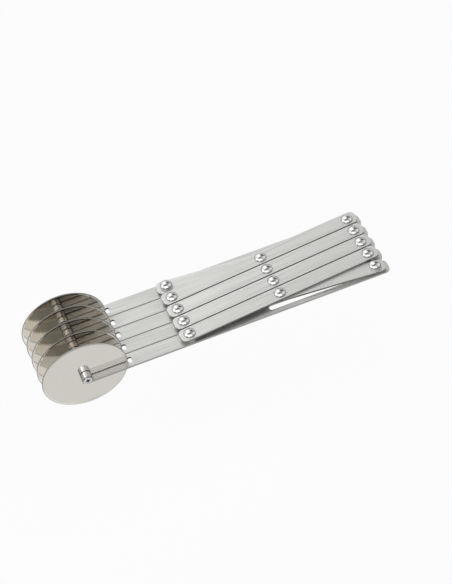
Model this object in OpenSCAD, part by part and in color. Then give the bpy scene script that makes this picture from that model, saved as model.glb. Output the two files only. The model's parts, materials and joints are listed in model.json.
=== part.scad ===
// Expandable dough cutter: five cutting wheels on five flat arms, which a lattice
// of riveted links keeps at one even spacing while it is drawn out sideways.
// Drawn closed. X runs along the arms to the rear, Y across them and Z up, in
// millimetres, from the middle of the space it takes, where its wheels stand.
// Arm 1 is the one at the +Y side. Lower link i runs from front pivot i to rear
// pivot i + 1, and upper link i from front pivot i + 1 to rear pivot i.

/* [Wheels] */
// Diameter of a cutting wheel
wheel_d = 55; // [48:1:64]
// Thickness of a wheel's disc
wheel_t = 0.8; // [0.6:0.1:1.2]
// Width of the bevel that is ground on both faces at the rim
bevel_w = 1.2; // [0.6:0.1:2]
// Thickness that is left at the cutting edge
edge_t = 0.15; // [0.1:0.05:0.3]
// Diameter of the collars of a wheel's hub
hub_d = 6; // [5.6:0.1:6.4]
// Diameter of the hub's neck, on which the disc sits
hub_neck_d = 5; // [4.6:0.1:5.2]
// Chamfer at the hub's ends
hub_chamfer = 0.15; // [0.1:0.05:0.2]

/* [Axle screws] */
// Diameter of an axle screw
axle_d = 3.8; // [3.4:0.1:4]
// Diameter of its flat head
axle_head_d = 5.6; // [5:0.1:6.2]
// Height of its flat head
axle_head_h = 0.6; // [0.5:0.1:0.8]
// Chamfer at the head's edge
axle_chamfer = 0.2; // [0.1:0.05:0.3]
// Length of each bar of the cross recess in the head
recess_len = 2.8; // [2.4:0.1:3.2]
// Width of each bar of the cross recess
recess_w = 1.1; // [0.8:0.1:1.3]
// Depth of the cross recess
recess_depth = 1.2; // [0.8:0.1:1.4]

/* [Strips] */
// Width of every arm and link
strip_w = 10; // [9:0.2:12]
// Thickness of every arm and link
strip_t = 1.5; // [1.2:0.1:1.8]
// Radius of the corners at the strips' ends
corner_r = 3.5; // [2:0.25:4.25]
// How far a link reaches beyond its pivots
link_end = 6.5; // [6:0.25:8]
// How far an arm reaches beyond its rear pivot when closed
arm_end = 9; // [8:0.5:12]

/* [Lattice] */
// Length of a link from its front pivot to its rear pivot
link_len = 126; // [110:1:140]
// Distance from the wheels' axle to the front pivots
axle_to_front = 69; // [60:1:80]
// Angle between the links and the arms when drawn right out
open_angle = 64; // [50:1:66]

/* [Forks] */
// Length of the relief hole at the slit's end, along the arm
relief_len = 2.6; // [2.2:0.1:3.2]
// Width of the relief hole, across the arm
relief_w = 4.6; // [4:0.1:5.2]
// Distance from the wheel's rim back to the relief hole's centre
relief_back = 1.4; // [1:0.1:2]
// How far the rolled eyes sink below the arm's underside
eye_drop = 0.1; // [0.05:0.05:0.2]
// Seam between the rolled end of an eye and the arm's upper side
seam_gap = 0.4; // [0.2:0.1:0.6]

/* [Rivets] */
// Diameter of a rivet's shank
pin_d = 4; // [3.4:0.1:4.4]
// Diameter of its domed head
head_d = 7.6; // [7:0.1:8]
// Height of its domed head
head_h = 1.9; // [1.5:0.1:2.2]
// Height of the upright edge below the dome
head_edge = 0.4; // [0.2:0.1:0.6]
// Diameter of the flat tail that closes it
tail_d = 6.8; // [6.2:0.1:7.4]
// Thickness of the tail under an arm
tail_t = 0.9; // [0.6:0.1:1.2]
// Chamfer at the tail's edge
tail_chamfer = 0.3; // [0.1:0.1:0.4]
// Outer diameter of the washers and spacers
washer_d = 8; // [7.4:0.1:8.6]
// Thickness of the washers that lift the links off the arms
washer_t = 1; // [0.8:0.1:1.4]

/* [Fits] */
// Radial clearance of a pin in its bore
run_clear = 0.05; // [0.02:0.01:0.1]
// Clearance on each side of a rear pin in its slot
slot_clear = 0.1; // [0.06:0.02:0.2]
// Clearance left at each end of a slot's travel
stop_clear = 0.3; // [0.2:0.1:1]
// Clearance between layers that turn or slide on each other
layer_clear = 0.05; // [0.03:0.01:0.1]
// Clearance between a middle rivet's tail and the arms below it
tail_clear = 0.3; // [0.2:0.05:0.4]
// Clearance between a hub and the eyes, each side
hub_clear = 0.1; // [0.05:0.05:0.2]
// Clearance between a wheel's disc and the slit's sides
slit_clear = 0.55; // [0.5:0.05:0.7]
// Clearance between an axle screw's head and the next arm when closed
close_clear = 0.2; // [0.1:0.1:3]

/* [Hidden] */
$fn = 64;
// How far a cut runs past the face it opens
overrun = 1;

arms = [1, 2, 3, 4, 5];
links = [1, 2, 3, 4];
middle_arm = 3;
last_arm = 5;

// Lengths along X
wheel_r = wheel_d / 2;
arm_spacing = strip_w + axle_head_h + close_clear;
closed_angle = asin(arm_spacing / link_len);
closed_run = link_len * cos(closed_angle);
open_run = link_len * cos(open_angle);
total_len = wheel_r + axle_to_front + closed_run + arm_end;
axle_x = wheel_r - total_len / 2;
front_x = axle_x + axle_to_front;
rear_x = front_x + closed_run;
middle_x = front_x + closed_run / 2;
relief_x = axle_x + wheel_r + relief_back;
arm_rear = rear_x + arm_end;

// Widths along Y
slit_w = wheel_t + 2 * slit_clear;
hub_len = slit_w - 2 * hub_clear;
slot_w = pin_d + 2 * slot_clear;
relief_reach = (relief_w - relief_len) / 2;
function arm_y(i) = (middle_arm - i) * arm_spacing + axle_head_h / 2;

// Heights along Z
bore_r = axle_d / 2 + run_clear;
eye_r = bore_r + strip_t;
axle_rise = bore_r - eye_drop + strip_t / 2;
axle_z = wheel_r;
arm_mid = axle_z - axle_rise;
arm_bottom = arm_mid - strip_t / 2;
arm_top = arm_mid + strip_t / 2;
washer_top = arm_top + washer_t;
lower_bottom = washer_top + layer_clear;
lower_top = lower_bottom + strip_t;
upper_bottom = lower_top + layer_clear;
upper_top = upper_bottom + strip_t;
head_bottom = upper_top + layer_clear;
spacer_h = strip_t + layer_clear;
middle_tail_t = washer_t - tail_clear;

// Sphere that gives the rivets' dome
dome_h = head_h - head_edge;
dome_r = (pow(head_d / 2, 2) + pow(dome_h, 2)) / (2 * dome_h);

// Finishes
brushed = [0.78, 0.78, 0.76];
polished = [0.70, 0.69, 0.67];
bright = [0.86, 0.86, 0.86];

function numbered(name, numbers) = [for (i = numbers) str(name, i)];

// Rounded end of a strip, whose tip lies at x = 0 and points along +X
module strip_end() {
    inner_w = strip_w - 2 * corner_r;
    translate([-corner_r, -inner_w / 2])
        square([corner_r, inner_w]);
    for (side = [-1, 1])
        translate([-corner_r, side * inner_w / 2])
            circle(r = corner_r);
}

// Outline of a strip from x = from to x = to, less its rounded ends
module strip_run(from, to) {
    translate([from, -strip_w / 2])
        square([to - from, strip_w]);
}

// Outline of a slot along X, between the centres of its round ends
module round_slot(from, to, width) {
    translate([from, -width / 2])
        square([to - from, width]);
    for (x = [from, to])
        translate([x, 0])
            circle(d = width);
}

// Arm seen from above: slit in front, bored and slotted behind
module arm_plan() {
    arm_front = axle_x - eye_r - overrun;
    difference() {
        union() {
            strip_run(arm_front, arm_rear - corner_r);
            translate([arm_rear, 0])
                strip_end();
        }
        translate([arm_front - overrun, -slit_w / 2])
            square([relief_x - arm_front + overrun, slit_w]);
        translate([relief_x, 0])
            rotate(90)
                round_slot(-relief_reach, relief_reach, relief_len);
        translate([front_x, 0])
            circle(r = pin_d / 2 + run_clear);
        round_slot(front_x + open_run - stop_clear, rear_x + stop_clear, slot_w);
    }
}

// Arm seen from the side, with the axle at the origin: its front end is rolled up into an eye
module arm_side() {
    strip_top = eye_drop - bore_r;
    difference() {
        union() {
            circle(r = eye_r);
            translate([0, strip_top - strip_t])
                square([arm_rear - axle_x + overrun, strip_t]);
        }
        circle(r = bore_r);
        translate([0, strip_top])
            square([eye_r, seam_gap]);
    }
}

module arm(i) {
    color(brushed)
        translate([0, arm_y(i), arm_mid])
            intersection() {
                translate([axle_x, strip_w / 2 + overrun, axle_rise])
                    rotate([90, 0, 0])
                        linear_extrude(height = strip_w + 2 * overrun)
                            arm_side();
                translate([0, 0, axle_rise - eye_r - overrun])
                    linear_extrude(height = 2 * (eye_r + overrun))
                        arm_plan();
            }
}

// Places what is turned about the axle of arm i
module on_axle(i) {
    translate([axle_x, arm_y(i), axle_z])
        rotate([90, 0, 0])
            children();
}

module wheel(i) {
    seat_r = hub_neck_d / 2 + run_clear;
    color(polished)
        on_axle(i)
            rotate_extrude($fn = 128)
                polygon([
                    [seat_r, -wheel_t / 2],
                    [wheel_r - bevel_w, -wheel_t / 2],
                    [wheel_r, -edge_t / 2],
                    [wheel_r, edge_t / 2],
                    [wheel_r - bevel_w, wheel_t / 2],
                    [seat_r, wheel_t / 2]
                ]);
}

// Hub swaged into the wheel: a bush with a collar on each side of the disc
module wheel_hub(i) {
    collar_r = hub_d / 2;
    color(bright)
        on_axle(i)
            rotate_extrude()
                polygon([
                    [bore_r, -hub_len / 2],
                    [collar_r - hub_chamfer, -hub_len / 2],
                    [collar_r, hub_chamfer - hub_len / 2],
                    [collar_r, -wheel_t / 2],
                    [hub_neck_d / 2, -wheel_t / 2],
                    [hub_neck_d / 2, wheel_t / 2],
                    [collar_r, wheel_t / 2],
                    [collar_r, hub_len / 2 - hub_chamfer],
                    [collar_r - hub_chamfer, hub_len / 2],
                    [bore_r, hub_len / 2]
                ]);
}

// Screw through both eyes: its head stands out on the near side, its end is flush on the far side
module axle_screw(i) {
    edge_h = axle_head_h - axle_chamfer;
    head_top = strip_w / 2 + axle_head_h;
    color(bright)
        on_axle(i)
            difference() {
                union() {
                    translate([0, 0, -strip_w / 2])
                        cylinder(d = axle_d, h = strip_w + edge_h);
                    translate([0, 0, strip_w / 2])
                        cylinder(d = axle_head_d, h = edge_h);
                    translate([0, 0, head_top - axle_chamfer])
                        cylinder(d1 = axle_head_d, d2 = axle_head_d - 2 * axle_chamfer, h = axle_chamfer);
                }
                for (turn = [0, 90])
                    rotate(turn)
                        translate([-recess_len / 2, -recess_w / 2, head_top - recess_depth])
                            cube([recess_len, recess_w, recess_depth + overrun]);
            }
}

// A link's plate about its middle pivot, turned by the given angle
module link_plate(angle) {
    half_len = link_len / 2;
    rotate(angle)
        linear_extrude(height = strip_t)
            difference() {
                union() {
                    strip_run(corner_r - half_len - link_end, half_len + link_end - corner_r);
                    for (turn = [0, 180])
                        rotate(turn)
                            translate([half_len + link_end, 0])
                                strip_end();
                }
                for (x = [-half_len, 0, half_len])
                    translate([x, 0])
                        circle(r = pin_d / 2 + run_clear);
            }
}

// Middle of the span between arm i and the next
function span_y(i) = (arm_y(i) + arm_y(i + 1)) / 2;

module lower_link(i) {
    color(brushed)
        translate([middle_x, span_y(i), lower_bottom])
            link_plate(-closed_angle);
}

module upper_link(i) {
    color(brushed)
        translate([middle_x, span_y(i), upper_bottom])
            link_plate(closed_angle);
}

// Rivet with a domed head above and a flat tail below what it holds
module rivet(tail_top, tail_h) {
    translate([0, 0, tail_top])
        cylinder(d = pin_d, h = head_bottom - tail_top);
    translate([0, 0, head_bottom])
        cylinder(d = head_d, h = head_edge);
    translate([0, 0, head_bottom + head_edge])
        intersection() {
            translate([0, 0, dome_h - dome_r])
                sphere(r = dome_r);
            cylinder(d = head_d + overrun, h = dome_h + overrun);
        }
    translate([0, 0, tail_top - tail_h + tail_chamfer])
        cylinder(d = tail_d, h = tail_h - tail_chamfer);
    translate([0, 0, tail_top - tail_h])
        cylinder(d1 = tail_d - 2 * tail_chamfer, d2 = tail_d, h = tail_chamfer);
}

module front_rivet(i) {
    color(bright)
        translate([front_x, arm_y(i), 0])
            rivet(arm_bottom, tail_t);
}

module middle_rivet(i) {
    color(bright)
        translate([middle_x, span_y(i), 0])
            rivet(lower_bottom, middle_tail_t);
}

module rear_rivet(i) {
    color(bright)
        translate([rear_x, arm_y(i), 0])
            rivet(arm_bottom - layer_clear, tail_t);
}

// Plain ring on a rivet's shank
module ring(bottom, height) {
    color(bright)
        translate([0, 0, bottom])
            difference() {
                cylinder(d = washer_d, h = height);
                translate([0, 0, -overrun])
                    cylinder(r = pin_d / 2 + run_clear, h = height + 2 * overrun);
            }
}

module front_washer(i) {
    translate([front_x, arm_y(i), 0])
        ring(arm_top, washer_t);
}

module rear_washer(i) {
    translate([rear_x, arm_y(i), 0])
        ring(lower_bottom - washer_t, washer_t);
}

// At the four corners of the lattice one link is missing, and a spacer fills its place
module front_head_spacer() {
    translate([front_x, arm_y(1), 0])
        ring(head_bottom - spacer_h, spacer_h);
}

module front_link_spacer() {
    translate([front_x, arm_y(last_arm), 0])
        ring(washer_top, spacer_h);
}

module rear_link_spacer() {
    translate([rear_x, arm_y(1), 0])
        ring(upper_bottom - spacer_h, spacer_h);
}

module rear_head_spacer() {
    translate([rear_x, arm_y(last_arm), 0])
        ring(lower_top, spacer_h);
}

for (i = arms) {
    arm(i);
    wheel(i);
    wheel_hub(i);
    axle_screw(i);
    front_rivet(i);
    rear_rivet(i);
    front_washer(i);
    rear_washer(i);
}
for (i = links) {
    lower_link(i);
    upper_link(i);
    middle_rivet(i);
}
front_head_spacer();
front_link_spacer();
rear_link_spacer();
rear_head_spacer();
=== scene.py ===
"""Looks of the expandable dough cutter: materials, edge finish, light, floor and camera."""
import json
import math
import re

import bpy
from mathutils import Matrix, Vector

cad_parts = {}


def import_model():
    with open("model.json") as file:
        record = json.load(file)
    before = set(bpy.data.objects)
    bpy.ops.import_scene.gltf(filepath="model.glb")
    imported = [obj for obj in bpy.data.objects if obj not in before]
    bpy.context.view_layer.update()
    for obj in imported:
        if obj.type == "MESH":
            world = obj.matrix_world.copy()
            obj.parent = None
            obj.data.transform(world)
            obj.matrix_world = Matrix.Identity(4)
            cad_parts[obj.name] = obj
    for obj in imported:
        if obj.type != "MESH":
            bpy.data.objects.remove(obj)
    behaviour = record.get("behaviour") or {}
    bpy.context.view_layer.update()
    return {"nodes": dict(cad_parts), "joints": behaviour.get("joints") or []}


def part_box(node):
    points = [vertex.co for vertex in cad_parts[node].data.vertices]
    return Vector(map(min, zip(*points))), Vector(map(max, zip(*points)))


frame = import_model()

NODES = frame["nodes"]
JOINTS = {j["name"]: j for j in frame["joints"]}

# Places and sizes on the cutter, in metres
MM = 0.001
AXLE = Vector(JOINTS["wheel_3_spin"]["pos_m"])
FRONT = Vector(JOINTS["lattice_fold"]["pos_m"])
MIDDLE = Vector(JOINTS["middle_pivot_2"]["pos_m"])
WHEEL_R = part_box("wheel_3")[1].z - AXLE.z
WHEELS_END_X = AXLE.x + WHEEL_R
SPACING = JOINTS["wheel_2_spin"]["pos_m"][1] - AXLE.y
# Where an arm's share of the width begins, just past its screw's head
SHARE_START = -5.75 * MM
# Radius round the axle that takes in an arm's eyes
EYE_REACH = 3.5 * MM
# Stretch that takes in the relief hole behind a wheel: its middle, half its length and half its width
HOLE_X = WHEELS_END_X + 1.4 * MM
HOLE_HALF_L = 1.5 * MM
HOLE_HALF_W = 2.6 * MM
# Stretch across the arm and radius that take in the cross recess in a screw's head
RECESS_START = -5.55 * MM
RECESS_END = -3.0 * MM
RECESS_REACH = 1.5 * MM
# Widths of a wheel's ground rim and of the line at its cutting edge
RIM_W = 0.75 * MM
TIP_W = 0.32 * MM

ALONG_AXLE = (0.0, 1.0, 0.0)
ACROSS_AXLE = (1.0, 0.0, 1.0)
# Angle of the closed links to the arms
FOLD = math.atan2(MIDDLE.y - FRONT.y, MIDDLE.x - FRONT.x)

# Widths of the rounded edges, in metres
STRIP_EDGE = 0.15 * MM
TURNED_EDGE = 0.05 * MM
RIVET_EDGE = 0.08 * MM
SHARP = 0.0
BEVEL_ANGLE = math.radians(32)
JOIN_DISTANCE = 0.0005 * MM


def grey(level):
    """Neutral colour of one level."""
    return (level, level, level)


# Tones of the steel as linear colours. A pair runs from the darker to the lighter marks.
ARM_TONES = (0.630, 0.632, 0.614), (0.790, 0.790, 0.768)
# Arms' cut edges: partly the sheared edge's own darker tone, partly painted shade along the edges and
# gaps
ARM_CUT_EDGE_AND_SHADE_TONES = (0.40, 0.395, 0.385), (0.62, 0.615, 0.60)
# Painted shade on the legs beside the wheels
LEG_SHADE_TONE = (0.26, 0.26, 0.255)
# Eyes: partly the polished steel's own tone, partly painted sheen
EYE_TONE_AND_SHEEN = (0.87, 0.86, 0.88)
# Painted dark reflection on the eyes' flanks
EYE_FLANK_REFLECTION_TONE = grey(0.28)
# Painted shade in an arm's sheltered cuts
SHELTERED_CUT_SHADE_TONE = (0.09, 0.09, 0.088)
LINK_TONES = (0.735, 0.737, 0.718), (0.895, 0.895, 0.873)
# Links' cut edges: partly the sheared edge's own darker tone, partly painted shade for the dark lines
# between the links
LINK_CUT_EDGE_AND_SHADE_TONES = (0.20, 0.198, 0.194), (0.30, 0.297, 0.292)
SCRATCH_TONE = (0.84, 0.84, 0.83)
WHEEL_TONES = (0.770, 0.742, 0.692), (0.802, 0.774, 0.722)
WHEEL_RUB_TONE = (0.72, 0.70, 0.66)
RIM_TONES = (0.66, 0.655, 0.64), (0.82, 0.815, 0.80)
TIP_TONE = (0.34, 0.337, 0.33)
TURNED_TONES = (0.70, 0.695, 0.685), (0.85, 0.845, 0.835)
RECESS_SHADE_TONE = (0.26, 0.25, 0.24)
RIVET_TONES = grey(0.70), (0.83, 0.83, 0.825)
RIVET_RUB_TONE = grey(0.58)
RIVET_RIM_SHADE_TONE = grey(0.22)
WASHER_TONES = (0.50, 0.50, 0.49), (0.68, 0.68, 0.67)


class Graph:
    """The node tree of a material or a world, with short calls for the nodes used here."""

    def __init__(self, owner):
        owner.use_nodes = True
        self.owner = owner
        self.tree = owner.node_tree
        self.tree.nodes.clear()

    def add(self, kind, **settings):
        node = self.tree.nodes.new(kind)
        for key, value in settings.items():
            setattr(node, key, value)
        return node

    def feed(self, socket, value):
        if isinstance(value, bpy.types.NodeSocket):
            self.tree.links.new(value, socket)
        else:
            socket.default_value = value

    def coordinate(self, kind):
        return self.add("ShaderNodeTexCoord").outputs[kind]

    def facing(self, axis):
        """How far a face looks along X, Y or Z, to either side: 1 straight on, 0 edge on."""
        return self.absolute(self.parts(self.coordinate("Normal"))["XYZ".index(axis)])

    def vector(self, operation, a, b=None):
        node = self.add("ShaderNodeVectorMath", operation=operation)
        self.feed(node.inputs[0], a)
        if b is not None:
            self.feed(node.inputs[1], b)
        return node.outputs["Value" if operation == "LENGTH" else "Vector"]

    def math(self, operation, *values):
        node = self.add("ShaderNodeMath", operation=operation)
        for socket, value in zip(node.inputs, values):
            self.feed(socket, value)
        return node.outputs[0]

    def absolute(self, value):
        return self.math("ABSOLUTE", value)

    def minus(self, a, b):
        return self.math("SUBTRACT", a, b)

    def larger(self, a, b):
        return self.math("MAXIMUM", a, b)

    def plus(self, first, *others):
        for other in others:
            first = self.math("ADD", first, other)
        return first

    def times(self, first, *others):
        for other in others:
            first = self.math("MULTIPLY", first, other)
        return first

    def weigh(self, *pairs):
        """Sum of values, each times its weight."""
        return self.plus(*(self.times(value, weight) for value, weight in pairs))

    def parts(self, vector):
        node = self.add("ShaderNodeSeparateXYZ")
        self.feed(node.inputs[0], vector)
        return node.outputs

    def turn(self, vector, angle):
        node = self.add("ShaderNodeVectorRotate", rotation_type="Z_AXIS")
        self.feed(node.inputs["Vector"], vector)
        node.inputs["Angle"].default_value = angle
        return node.outputs["Vector"]

    def noise(self, vector, scale, detail=3.0, rough=0.55, distortion=0.0):
        """Noise with about scale waves per metre, one number or one for each axis."""
        node = self.add("ShaderNodeTexNoise")
        waves = scale if isinstance(scale, tuple) else (scale, scale, scale)
        self.feed(node.inputs["Vector"], self.vector("MULTIPLY", vector, waves))
        node.inputs["Scale"].default_value = 1.0
        node.inputs["Detail"].default_value = detail
        node.inputs["Roughness"].default_value = rough
        node.inputs["Distortion"].default_value = distortion
        return node.outputs["Fac"]

    def span(self, value, low, high, to_low=0.0, to_high=1.0):
        """to_low up to low, to_high from high on, and a straight change between them."""
        node = self.add("ShaderNodeMapRange", clamp=True)
        for socket, v in zip(node.inputs[:5], (value, low, high, to_low, to_high)):
            self.feed(socket, v)
        return node.outputs["Result"]

    def below(self, value, low, high, most=1.0):
        """most up to low, and 0 from high on."""
        return self.span(value, low, high, most, 0.0)

    def within(self, value, rise, fall):
        """0 to 1 over the range rise, and back to 0 over the range fall."""
        return self.times(self.span(value, *rise), self.below(value, *fall))

    def tint(self, factor, low, high):
        node = self.add("ShaderNodeMix", data_type="RGBA")
        self.feed(node.inputs["Factor"], factor)
        for socket, colour in ((node.inputs[6], low), (node.inputs[7], high)):
            self.feed(socket, (*colour, 1.0) if isinstance(colour, tuple) else colour)
        return node.outputs[2]

    def bump(self, height, distance, strength, normal=None):
        node = self.add("ShaderNodeBump")
        node.inputs["Strength"].default_value = strength
        node.inputs["Distance"].default_value = distance
        self.feed(node.inputs["Height"], height)
        if normal is not None:
            self.feed(node.inputs["Normal"], normal)
        return node.outputs["Normal"]

    def close(self, kind, shader):
        """Ends the tree with an output node."""
        self.feed(self.add(kind).inputs["Surface"], shader)
        return self.owner

    def metal(self, colour, rough, normal):
        node = self.add("ShaderNodeBsdfPrincipled")
        node.inputs["Metallic"].default_value = 1.0
        self.feed(node.inputs["Base Color"], colour)
        self.feed(node.inputs["Roughness"], rough)
        self.feed(node.inputs["Normal"], normal)
        return self.close("ShaderNodeOutputMaterial", node.outputs[0])


def from_axle(g, place):
    """Distance from the line of the axles, in metres."""
    offset = g.vector("SUBTRACT", place, tuple(AXLE))
    return g.vector("LENGTH", g.vector("MULTIPLY", offset, ACROSS_AXLE))


def from_arm(g, y):
    """Distance across from the middle of the arm that a point belongs to, in metres."""
    return g.math("WRAP", g.minus(y, AXLE.y), SHARE_START + SPACING, SHARE_START)


def rings(g, radius, place, period, wander=0.0):
    """Noise that runs in rings, with a little change along each ring."""
    node = g.add("ShaderNodeCombineXYZ")
    g.feed(node.inputs[0], g.times(radius, 1.0 / period))
    if wander:
        g.feed(node.inputs[1], g.noise(place, wander, detail=1.0))
    return g.noise(node.outputs[0], 1.0, rough=0.6)


def sheltered(g, place):
    """1 at an arm's sheltered cuts, where shade is painted dark: the relief hole's wall and the eyes'
    ends.
    """
    x, y, _ = g.parts(place)
    near = g.below(g.absolute(g.minus(x, HOLE_X)), HOLE_HALF_L, HOLE_HALF_L + 0.1 * MM)
    inner = g.below(g.absolute(from_arm(g, y)), HOLE_HALF_W, HOLE_HALF_W + 0.2 * MM)
    end = g.span(g.facing("Y"), 0.7, 0.9)
    eye = g.below(from_axle(g, place), EYE_REACH, EYE_REACH + 0.1 * MM, most=0.75)
    return g.larger(g.times(near, inner), g.times(end, eye))


def arm_front(g, place, cut, colour, rough):
    """Front of an arm: painted shade on the legs, smoother eyes in a lighter tone that is partly painted
    sheen, painted dark reflection on the eyes' flanks, and painted shade on the sheltered cuts.
    """
    # Painted shade: the legs beside the wheels are darkened a little
    leg_shade = g.below(g.parts(place)[0], WHEELS_END_X - 0.5 * MM, WHEELS_END_X, most=0.10)
    eye = g.below(from_axle(g, place), EYE_REACH, EYE_REACH + 0.3 * MM)
    # Painted dark reflection on the eyes' front and rear flanks
    flank_reflection = g.span(g.facing("X"), 0.70, 0.95)
    colour = g.tint(leg_shade, colour, LEG_SHADE_TONE)
    # Lighter lavender tone on the eyes: partly polished steel, partly painted sheen
    colour = g.tint(eye, colour, EYE_TONE_AND_SHEEN)
    colour = g.tint(g.times(eye, flank_reflection), colour, EYE_FLANK_REFLECTION_TONE)
    # Painted shade on the relief hole's wall and the eyes' ends
    colour = g.tint(g.times(cut, sheltered(g, place)), colour, SHELTERED_CUT_SHADE_TONE)
    return colour, g.minus(rough, g.times(eye, 0.16))


def brushed_strip(name, angle, tones, cut_edge_and_shade_tones, front=None):
    """Satin strip steel, brushed lengthwise, for strips that lie at an angle to X. The cut edges
    have darker tones, partly the sheared edge's own and partly painted shade, and front changes the
    colour and roughness at a strip's front."""
    g = Graph(bpy.data.materials.new(name))
    place = g.coordinate("Object")
    p = g.turn(place, -angle)
    hair = g.noise(p, (70, 7500, 7500), detail=2.0)
    grain = g.noise(p, (22, 1500, 1500), rough=0.6)
    band = g.noise(p, (9, 260, 260), detail=2.0)
    cloud = g.noise(p, (38, 70, 70))
    scratch = g.noise(p, (120, 2600, 2600), detail=1.0, rough=0.5, distortion=0.2)
    scratch = g.span(scratch, 0.70, 0.76)
    streak = g.span(g.weigh((hair, 0.35), (grain, 0.40), (band, 0.25)), 0.36, 0.64)
    cut = g.below(g.facing("Z"), 0.35, 0.70)
    colour = g.tint(streak, *tones)
    colour = g.tint(g.times(scratch, 0.35), colour, SCRATCH_TONE)
    # Cut edges take darker tones: partly the sheared edge's own, partly painted shade
    colour = g.tint(cut, colour, g.tint(cloud, *cut_edge_and_shade_tones))
    rough = g.plus(g.span(streak, 0.0, 1.0, to_low=0.48, to_high=0.40),
                   g.span(cloud, 0.35, 0.68, to_low=-0.04, to_high=0.06),
                   g.times(cut, 0.08))
    if front:
        colour, rough = front(g, place, cut, colour, rough)
    normal = g.bump(hair, distance=0.010 * MM, strength=0.45)
    normal = g.bump(grain, distance=0.030 * MM, strength=0.35, normal=normal)
    normal = g.bump(cloud, distance=0.25 * MM, strength=0.10, normal=normal)
    return g.metal(colour, rough, normal)


def polished_wheel(name):
    """Polished disc with faint turning marks, rub marks, a satin ground rim and a darker cutting edge."""
    g = Graph(bpy.data.materials.new(name))
    p = g.coordinate("Object")
    radius = from_axle(g, p)
    fine = rings(g, radius, p, period=0.10 * MM, wander=60)
    wide = rings(g, radius, p, period=0.9 * MM, wander=25)
    cloud = g.noise(p, 55, detail=4.0, rough=0.6)
    rub = g.noise(p, (420, 90, 900), detail=2.0, rough=0.5, distortion=0.6)
    rub = g.span(rub, 0.66, 0.74)
    marks = g.span(g.weigh((fine, 0.5), (wide, 0.5)), 0.35, 0.65)
    rim = g.span(radius, WHEEL_R - RIM_W, WHEEL_R - RIM_W + 0.2 * MM)
    tip = g.span(radius, WHEEL_R - TIP_W, WHEEL_R - TIP_W + 0.1 * MM)
    colour = g.tint(marks, *WHEEL_TONES)
    colour = g.tint(g.times(rub, 0.25), colour, WHEEL_RUB_TONE)
    colour = g.tint(g.times(rim, 0.8), colour, g.tint(fine, *RIM_TONES))
    colour = g.tint(tip, colour, TIP_TONE)
    rough = g.plus(g.span(marks, 0.0, 1.0, to_low=0.045, to_high=0.03),
                   g.span(cloud, 0.4, 0.7, to_high=0.02),
                   g.times(rub, 0.06),
                   g.times(rim, 0.55))
    normal = g.bump(fine, distance=0.001 * MM, strength=0.15)
    normal = g.bump(cloud, distance=0.03 * MM, strength=0.04, normal=normal)
    return g.metal(colour, rough, normal)


def turned_steel(name):
    """Bright steel with tool marks round the axle, and painted shade in the cross recess of a screw's
    head.
    """
    g = Graph(bpy.data.materials.new(name))
    p = g.coordinate("Object")
    radius = from_axle(g, p)
    tool = g.noise(g.vector("MULTIPLY", p, ALONG_AXLE), 5200, detail=2.0)
    face = rings(g, radius, p, period=0.16 * MM)
    cloud = g.noise(p, 420)
    marks = g.span(g.weigh((tool, 0.5), (face, 0.5)), 0.36, 0.64)
    deep = g.within(from_arm(g, g.parts(p)[1]),
                    (RECESS_START, RECESS_START + 0.25 * MM),
                    (RECESS_END, RECESS_END + 0.5 * MM))
    # Painted shade in the cross recess of a screw's head
    recess = g.times(deep, g.below(radius, RECESS_REACH, RECESS_REACH + 0.05 * MM))
    colour = g.tint(marks, *TURNED_TONES)
    colour = g.tint(recess, colour, RECESS_SHADE_TONE)
    rough = g.plus(g.span(marks, 0.0, 1.0, to_low=0.20, to_high=0.12),
                   g.span(cloud, 0.4, 0.7, to_high=0.08))
    return g.metal(colour, rough, g.bump(marks, distance=0.006 * MM, strength=0.30))


def polished_rivet(name):
    """Polished rivet: small rub marks, a softly uneven dome and painted shade round its rim."""
    g = Graph(bpy.data.materials.new(name))
    p = g.coordinate("Object")
    peel = g.noise(p, 900, detail=2.0)
    rub = g.noise(p, (700, 2600, 2600), detail=2.0, rough=0.5, distortion=0.8)
    rub = g.span(rub, 0.62, 0.72)
    cloud = g.noise(p, 260)
    # Painted shade round the steep rim of the dome
    rim = g.below(g.facing("Z"), 0.74, 0.84, most=0.75)
    colour = g.tint(g.span(cloud, 0.3, 0.7), *RIVET_TONES)
    colour = g.tint(g.times(rub, 0.4), colour, RIVET_RUB_TONE)
    colour = g.tint(rim, colour, RIVET_RIM_SHADE_TONE)
    rough = g.plus(g.span(cloud, 0.35, 0.7, to_low=0.07, to_high=0.14), g.times(rub, 0.10))
    return g.metal(colour, rough, g.bump(peel, distance=0.05 * MM, strength=0.12))


def ground_washer(name):
    """Flat washer with a ground, slightly dull face."""
    g = Graph(bpy.data.materials.new(name))
    p = g.coordinate("Object")
    grinding_angle = 0.6
    lines = g.noise(g.turn(p, grinding_angle), (300, 4200, 4200), detail=2.0)
    cloud = g.noise(p, 500)
    colour = g.tint(g.span(lines, 0.35, 0.65), *WASHER_TONES)
    rough = g.plus(g.span(lines, 0.35, 0.65, to_low=0.32, to_high=0.24),
                   g.span(cloud, 0.4, 0.7, to_high=0.08))
    return g.metal(colour, rough, g.bump(lines, distance=0.008 * MM, strength=0.35))


def smooth_group():
    """Joins the faces of a solid and lets them shade smoothly."""
    tree = bpy.data.node_groups.new("joined_faces", "GeometryNodeTree")
    for way in ("INPUT", "OUTPUT"):
        tree.interface.new_socket("Geometry", in_out=way, socket_type="NodeSocketGeometry")
    start = tree.nodes.new("NodeGroupInput")
    merge = tree.nodes.new("GeometryNodeMergeByDistance")
    merge.inputs["Distance"].default_value = JOIN_DISTANCE
    smooth = tree.nodes.new("GeometryNodeSetShadeSmooth")
    end = tree.nodes.new("NodeGroupOutput")
    tree.links.new(start.outputs[0], merge.inputs["Geometry"])
    tree.links.new(merge.outputs[0], smooth.inputs["Geometry"])
    tree.links.new(smooth.outputs[0], end.inputs[0])
    return tree


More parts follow.
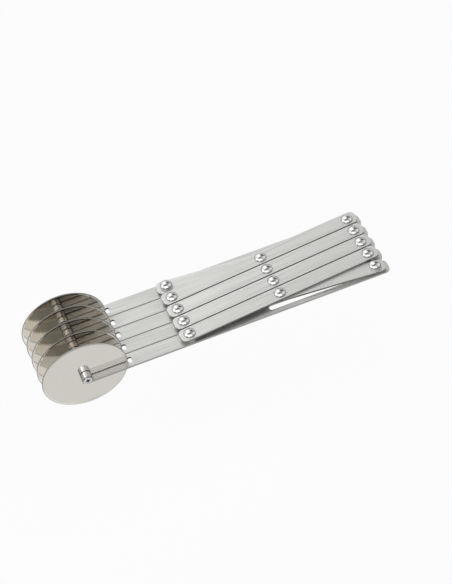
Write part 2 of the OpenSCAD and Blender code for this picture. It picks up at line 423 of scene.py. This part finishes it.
def soften(obj, width, joined):
    """Breaks a solid's sharp edges by a small rounded bevel."""
    obj.modifiers.new("joined", "NODES").node_group = joined
    bevel = obj.modifiers.new("edges", "BEVEL")
    bevel.limit_method = "ANGLE"
    bevel.angle_limit = BEVEL_ANGLE
    bevel.width = width
    bevel.segments = 2
    bevel.use_clamp_overlap = True
    bevel.miter_outer = "MITER_ARC"
    normals = obj.modifiers.new("normals", "WEIGHTED_NORMAL")
    normals.mode = "FACE_AREA"
    normals.weight = 100


def dress():
    """Gives every node its material and its edge finish."""
    arm = brushed_strip("arm_strip", 0.0, ARM_TONES, ARM_CUT_EDGE_AND_SHADE_TONES, arm_front)
    lower = brushed_strip("lower_link_strip", -FOLD, LINK_TONES, LINK_CUT_EDGE_AND_SHADE_TONES)
    upper = brushed_strip("upper_link_strip", FOLD, LINK_TONES, LINK_CUT_EDGE_AND_SHADE_TONES)
    looks = {
        "arm": (arm, STRIP_EDGE),
        "lower_link": (lower, STRIP_EDGE),
        "upper_link": (upper, STRIP_EDGE),
        "wheel": (polished_wheel("wheel_disc"), SHARP),
        "wheel_hub": (turned_steel("turned_hub"), TURNED_EDGE),
        "axle_screw": (turned_steel("screw_steel"), TURNED_EDGE),
        "rivet": (polished_rivet("rivet_steel"), RIVET_EDGE),
        "ring": (ground_washer("washer_steel"), RIVET_EDGE),
    }
    joined = smooth_group()
    for name, obj in NODES.items():
        stem = re.sub(r"_\d+$", "", name)
        if stem.endswith("_rivet"):
            stem = "rivet"
        elif stem.endswith(("_washer", "_spacer")):
            stem = "ring"
        material, edge = looks[stem]
        obj.data.materials.clear()
        obj.data.materials.append(material)
        if edge != SHARP:
            soften(obj, edge, joined)


def link(obj):
    """Puts an object in the scene."""
    bpy.context.scene.collection.objects.link(obj)
    return obj


def reflected_floor(g, place):
    """Brightness of the floor in reflections. It is full to the left of the wheels and falls off
    towards the camera, and two darker patches give the closed wheels their dark zones."""
    patch_x = -0.076
    x, y, _ = g.parts(place)
    left = g.times(g.below(x, -0.092, -0.086), g.span(y, -0.142, -0.128))
    pale = g.times(g.span(left, 0.0, 1.0, to_low=0.77), g.span(y, -0.50, -0.24, to_low=0.55))
    aside = g.absolute(g.minus(x, patch_x))

    def patch(half, rise, fall, level):
        """Share of the light that is left: level inside the patch and 1 outside it."""
        inside = g.times(g.below(aside, *half), g.within(y, rise, fall))
        return g.span(inside, 0.0, 1.0, to_low=1.0, to_high=level)

    front = patch(half=(0.0128, 0.0134), rise=(-0.1350, -0.1342), fall=(-0.100, -0.085), level=0.44)
    behind = patch(half=(0.0220, 0.0226), rise=(0.080, 0.095), fall=(0.155, 0.170), level=0.42)
    return g.times(pale, front, behind)


def floor():
    """Pale floor that lies clear below the cutter: white to the eye, with a soft shadow."""
    half, drop = 3.0, 0.15
    white_share = 0.90
    tones = grey(0.86), grey(0.90)
    mesh = bpy.data.meshes.new("floor")
    corners = [(-half, -half, -drop), (half, -half, -drop), (half, half, -drop), (-half, half, -drop)]
    mesh.from_pydata(corners, [], [(0, 1, 2, 3)])
    obj = link(bpy.data.objects.new("floor", mesh))
    g = Graph(bpy.data.materials.new("pale_floor"))
    place = g.coordinate("Object")
    matt = g.add("ShaderNodeBsdfDiffuse")
    g.feed(matt.inputs["Color"], g.tint(g.noise(place, 30), *tones))
    path = g.add("ShaderNodeLightPath")
    eye = path.outputs["Is Camera Ray"]
    mirror = g.larger(path.outputs["Is Glossy Ray"], path.outputs["Is Transmission Ray"])
    light = g.add("ShaderNodeEmission")
    g.feed(light.inputs["Strength"], g.larger(reflected_floor(g, place), eye))
    mix = g.add("ShaderNodeMixShader")
    g.feed(mix.inputs[0], g.larger(g.times(eye, white_share), mirror))
    g.feed(mix.inputs[1], matt.outputs[0])
    g.feed(mix.inputs[2], light.outputs[0])
    mesh.materials.append(g.close("ShaderNodeOutputMaterial", mix.outputs[0]))


def world():
    """White studio to the eye. As light it is duller towards the horizon and on the camera's side,
    dark in a stretch of ceiling overhead, and behind the cutter falls off towards the arms' rear."""
    horizon, dome, camera_side, ceiling = grey(0.52), grey(0.93), grey(0.54), grey(0.16)
    back_left, back_middle, back_right = grey(0.90), grey(1.45), (0.12, 0.115, 0.11)
    ceiling_x, ceiling_y = 0.05, 0.13
    g = Graph(bpy.data.worlds.new("studio"))
    x, y, z = g.parts(g.vector("NORMALIZE", g.coordinate("Generated")))
    sky = g.tint(g.span(z, 0.0, 0.45), horizon, dome)
    fall = g.tint(g.span(x, 0.0, 0.42), back_middle, back_right)
    fall = g.tint(g.below(x, -0.45, -0.15), fall, back_left)
    sky = g.tint(g.times(g.span(y, 0.25, 0.42), g.span(z, 0.2, 0.5)), sky, fall)
    sky = g.tint(g.below(y, -0.35, -0.10), sky, camera_side)
    across = g.absolute(g.minus(y, ceiling_y))
    along = g.absolute(g.minus(x, ceiling_x))
    dark = g.times(g.below(across, 0.08, 0.30), g.below(along, 0.25, 0.70), g.span(z, 0.4, 0.6))
    sky = g.tint(dark, sky, ceiling)
    sky = g.tint(g.add("ShaderNodeLightPath").outputs["Is Camera Ray"], sky, grey(1.0))
    back = g.add("ShaderNodeBackground")
    g.feed(back.inputs["Color"], sky)
    back.inputs["Strength"].default_value = 1.0
    bpy.context.scene.world = g.close("ShaderNodeOutputWorld", back.outputs[0])


def softbox(name, place, target, size, power):
    """Rectangular lamp at a place, turned to a target."""
    lamp = bpy.data.lights.new(name, "AREA")
    lamp.shape = "RECTANGLE"
    lamp.size, lamp.size_y = size
    lamp.energy = power
    obj = link(bpy.data.objects.new(name, lamp))
    obj.location = place
    obj.rotation_euler = (Vector(target) - Vector(place)).to_track_quat("-Z", "Y").to_euler()


def camera():
    """Camera at the photograph's viewing angle, fitted to the wheels and the rivets."""
    place = Vector((-0.1513, -0.6244, 0.8026))
    down, side, roll = (math.radians(a) for a in (50.14, 14.79, -8.66))
    level_reach = math.cos(down)
    ahead = Vector((math.sin(side) * level_reach, math.cos(side) * level_reach, -math.sin(down)))
    level = ahead.cross(Vector((0, 0, 1))).normalized()
    right = math.cos(roll) * level + math.sin(roll) * level.cross(ahead)
    up = right.cross(ahead)
    data = bpy.data.cameras.new("camera")
    data.sensor_fit = "VERTICAL"
    data.sensor_height = 36.0
    data.lens = 98.6
    data.clip_start = 0.01
    data.clip_end = 20.0
    obj = link(bpy.data.objects.new("camera", data))
    turn = Matrix((right, up, -ahead)).transposed().to_4x4()
    obj.matrix_world = Matrix.Translation(place) @ turn
    bpy.context.scene.camera = obj


dress()
floor()
world()
softbox("key", place=(-0.20, -0.52, 1.30), target=(0, 0, 0.02), size=(1.5, 0.45), power=2.6)
softbox("fill", place=(-0.58, -0.78, 0.92), target=(-0.05, 0, 0.02), size=(0.5, 0.4), power=1.2)
softbox("side", place=(-1.1, 0.35, 0.9), target=(0, 0, 0.02), size=(0.8, 0.8), power=1.8)
camera()
bpy.context.scene.view_settings.view_transform = "Standard"
